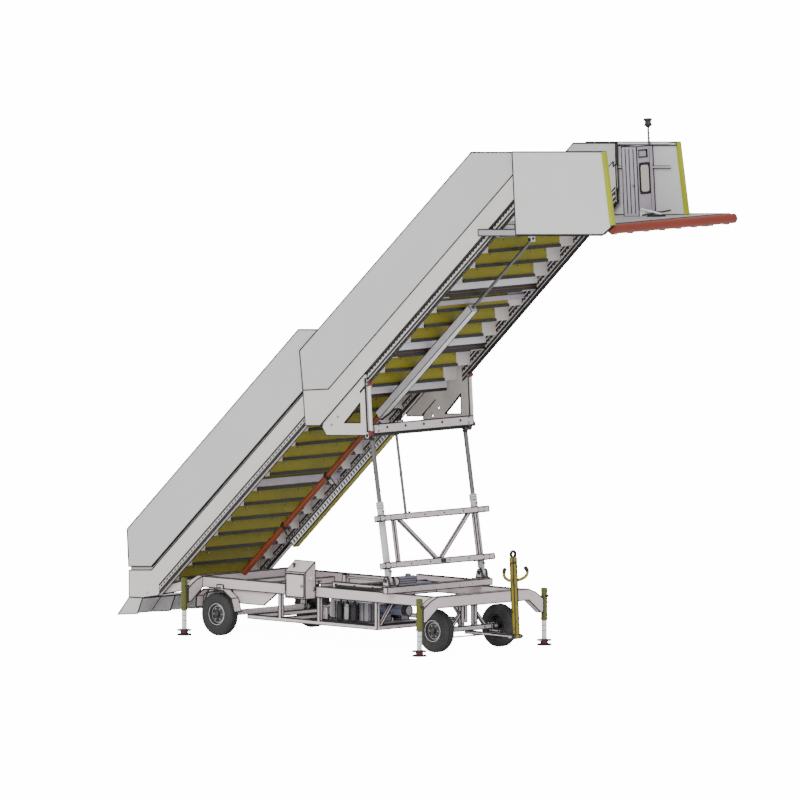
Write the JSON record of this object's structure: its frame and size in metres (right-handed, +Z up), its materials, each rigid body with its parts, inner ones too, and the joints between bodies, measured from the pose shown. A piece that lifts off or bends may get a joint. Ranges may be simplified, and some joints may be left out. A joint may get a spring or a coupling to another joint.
{
  "type": "towable aircraft boarding stair",
  "caption": "Towable boarding stair: wheeled jack-stabilised chassis, telescoping two-part flight raised by twin lift cylinders, platform with sliding side guards and soft bumper.",
  "frame": {"origin": "middle of the machine box on the ground plane", "axes": "+X from the foot of the flight to the platform, +Y to the left of a person climbing, +Z up"},
  "size_m": [9.581, 2.658, 7.3143],
  "materials": {
    "frame_white": "satin paint",
    "axle_paint": "satin paint",
    "tow_yellow": "gloss paint",
    "pack_blue": "gloss paint",
    "rod_steel": "polished",
    "barrel_grey": "gloss paint",
    "step_olive": "textured anti-slip paint",
    "skin_panel": "satin paint",
    "stringer_beige": "satin paint",
    "cabinet_mauve": "satin paint",
    "ram_orange": "gloss paint",
    "bumper_orange": "smooth rubber",
    "beacon_black": "moulded",
    "button_red": "moulded",
    "tyre_black": "solid rubber",
    "rim_white": "gloss paint",
    "jack_green": "gloss paint",
    "jack_tube": "gloss paint",
    "edge_green": "extruded rubber",
    "detail_black": "moulded",
    "bolt_steel": "zinc plated",
    "lens_clear": "clear",
    "lens_orange": "translucent lens",
    "hose_black": "hydraulic hose",
    "foot_red": "gloss paint"
  },
  "bodies": {
    "chassis": {"chassis_frame": "frame_white", "belly_frame": "frame_white", "battery_box": "frame_white", "power_pack": "pack_blue", "console_box": "frame_white", "rear_axle": "axle_paint", "front_axle": "axle_paint", "carriage_ram_rod": "rod_steel", "front_right_jack_housing": "jack_green", "front_left_jack_housing": "jack_green", "rear_right_jack_housing": "jack_green", "rear_left_jack_housing": "jack_green", "right_mudguard": "frame_white", "left_mudguard": "frame_white"},
    "carriage": {"carriage_frame": "frame_white", "carriage_ram_barrel": "pack_blue"},
    "lift_barrels": {"right_lift_barrel": "barrel_grey", "left_lift_barrel": "barrel_grey", "sync_frame": "frame_white"},
    "lift_rods": {"lift_rods": "rod_steel"},
    "lower_flight": {"lower_steps": "step_olive", "right_lower_stringer": "stringer_beige", "left_lower_stringer": "stringer_beige", "right_lower_panel": "skin_panel", "left_lower_panel": "skin_panel", "extension_ram_barrel": "ram_orange", "hose_tray": "step_olive"},
    "tail_ramp": {"tail_ramp": "skin_panel"},
    "upper_flight": {"upper_steps": "step_olive", "right_upper_stringer": "stringer_beige", "left_upper_stringer": "stringer_beige", "right_upper_panel": "skin_panel", "left_upper_panel": "skin_panel", "lift_crossbar": "frame_white", "deck": "skin_panel", "bumper": "bumper_orange", "extension_ram_rod": "barrel_grey", "lamp_cabinet": "cabinet_mauve", "beacon": "beacon_black"},
    "right_guard": {"right_guard": "skin_panel"},
    "left_guard": {"left_guard": "skin_panel"},
    "drawbar": {"drawbar": "axle_paint"},
    "tie_rod": {"tie_rod": "axle_paint"},
    "towbar": {"towbar": "tow_yellow"},
    "console_door": {"console_door": "frame_white"},
    "stop_button": {"stop_button": "button_red"},
    "right_knuckle": {"right_knuckle": "axle_paint"},
    "front_right_wheel": {"front_right_tyre": "tyre_black", "front_right_rim": "rim_white"},
    "rear_right_wheel": {"rear_right_tyre": "tyre_black", "rear_right_rim": "rim_white"},
    "front_right_jack": {"front_right_jack_leg": "jack_tube"},
    "rear_right_jack": {"rear_right_jack_leg": "jack_tube"},
    "left_knuckle": {"left_knuckle": "axle_paint"},
    "front_left_wheel": {"front_left_tyre": "tyre_black", "front_left_rim": "rim_white"},
    "rear_left_wheel": {"rear_left_tyre": "tyre_black", "rear_left_rim": "rim_white"},
    "front_left_jack": {"front_left_jack_leg": "jack_tube"},
    "rear_left_jack": {"rear_left_jack_leg": "jack_tube"}
  },
  "joints": [
    {"name": "flight_pitch", "type": "hinge", "parent": "chassis", "child": "lower_flight", "pos_m": [-4.23091, -0.036, 0.5], "axis": [0, -1, 0], "range_deg": [-3.7, 0]},
    {"name": "flight_extend", "type": "slide", "parent": "lower_flight", "child": "upper_flight", "axis": [0.7484, 0, 0.6632], "range_m": [-0.8, 0]},
    {"name": "carriage_slide", "type": "slide", "parent": "chassis", "child": "carriage", "axis": [1, 0, 0], "range_m": [-0.69, 0.001]},
    {"name": "lift_barrel_tilt", "type": "hinge", "parent": "carriage", "child": "lift_barrels", "pos_m": [0.34409, -0.036, 0.953], "axis": [0, -1, 0], "range_deg": [-3.33, 0.01]},
    {"name": "lift_rod_tilt", "type": "hinge", "parent": "upper_flight", "child": "lift_rods", "pos_m": [0.01309, -0.036, 2.905], "axis": [0, -1, 0], "range_deg": [-0.01, 0.4]},
    {"name": "tail_ramp_fold", "type": "hinge", "parent": "lower_flight", "child": "tail_ramp", "pos_m": [-4.57119, -0.036, 0.41587], "axis": [0, 1, 0], "range_deg": [0, 60]},
    {"name": "right_guard_slide", "type": "slide", "parent": "upper_flight", "child": "right_guard", "axis": [0.9979, 0, 0.0645], "range_m": [-0.65, 0]},
    {"name": "left_guard_slide", "type": "slide", "parent": "upper_flight", "child": "left_guard", "axis": [0.9979, 0, 0.0645], "range_m": [0, 0.65]},
    {"name": "steer", "type": "hinge", "parent": "chassis", "child": "drawbar", "pos_m": [0.95909, -0.036, 0.24], "axis": [0, 0, 1], "range_deg": [-30, 30]},
    {"name": "tie_rod_pivot", "type": "hinge", "parent": "drawbar", "child": "tie_rod", "pos_m": [1.08909, -0.036, 0.203], "axis": [0, 0, 1], "range_deg": [-30, 30]},
    {"name": "towbar_fold", "type": "hinge", "parent": "drawbar", "child": "towbar", "pos_m": [1.88409, -0.036, 0.236], "axis": [0, 1, 0], "range_deg": [0, 85]},
    {"name": "console_door_hinge", "type": "hinge", "parent": "chassis", "child": "console_door", "pos_m": [-1.42491, -1.119, 0.8], "axis": [0, 0, -1], "range_deg": [0, 110]},
    {"name": "stop_button_press", "type": "slide", "parent": "chassis", "child": "stop_button", "axis": [0, 0, 1], "range_m": [-0.008, 0], "stiffness_N_per_m": 900, "springref_m": 0.002},
    {"name": "right_knuckle_steer", "type": "hinge", "parent": "chassis", "child": "right_knuckle", "pos_m": [0.95909, -0.491, 0.29], "axis": [0, 0, 1], "range_deg": [-30, 30]},
    {"name": "front_right_wheel_spin", "type": "hinge", "parent": "right_knuckle", "child": "front_right_wheel", "pos_m": [0.95909, -0.641, 0.2925], "axis": [0, 1, 0], "continuous": true},
    {"name": "rear_right_wheel_spin", "type": "hinge", "parent": "chassis", "child": "rear_right_wheel", "pos_m": [-2.89091, -0.921, 0.2925], "axis": [0, 1, 0], "continuous": true},
    {"name": "front_right_jack_slide", "type": "slide", "parent": "chassis", "child": "front_right_jack", "axis": [0, 0, 1], "range_m": [0, 0.25]},
    {"name": "rear_right_jack_slide", "type": "slide", "parent": "chassis", "child": "rear_right_jack", "axis": [0, 0, 1], "range_m": [0, 0.25]},
    {"name": "left_knuckle_steer", "type": "hinge", "parent": "chassis", "child": "left_knuckle", "pos_m": [0.95909, 0.419, 0.29], "axis": [0, 0, 1], "range_deg": [-30, 30]},
    {"name": "front_left_wheel_spin", "type": "hinge", "parent": "left_knuckle", "child": "front_left_wheel", "pos_m": [0.95909, 0.569, 0.2925], "axis": [0, 1, 0], "continuous": true},
    {"name": "rear_left_wheel_spin", "type": "hinge", "parent": "chassis", "child": "rear_left_wheel", "pos_m": [-2.89091, 0.849, 0.2925], "axis": [0, 1, 0], "continuous": true},
    {"name": "front_left_jack_slide", "type": "slide", "parent": "chassis", "child": "front_left_jack", "axis": [0, 0, 1], "range_m": [0, 0.25]},
    {"name": "rear_left_jack_slide", "type": "slide", "parent": "chassis", "child": "rear_left_jack", "axis": [0, 0, 1], "range_m": [0, 0.25]}
  ],
  "couplings": [
    {"joint": "carriage_slide", "follows": "flight_extend", "ratio": 0.861},
    {"joint": "lift_barrel_tilt", "follows": "flight_pitch", "ratio": 0.895},
    {"joint": "lift_rod_tilt", "follows": "flight_pitch", "ratio": -0.105},
    {"joint": "tie_rod_pivot", "follows": "steer", "ratio": -1},
    {"joint": "right_knuckle_steer", "follows": "steer", "ratio": 1},
    {"joint": "left_knuckle_steer", "follows": "steer", "ratio": 1}
  ]
}
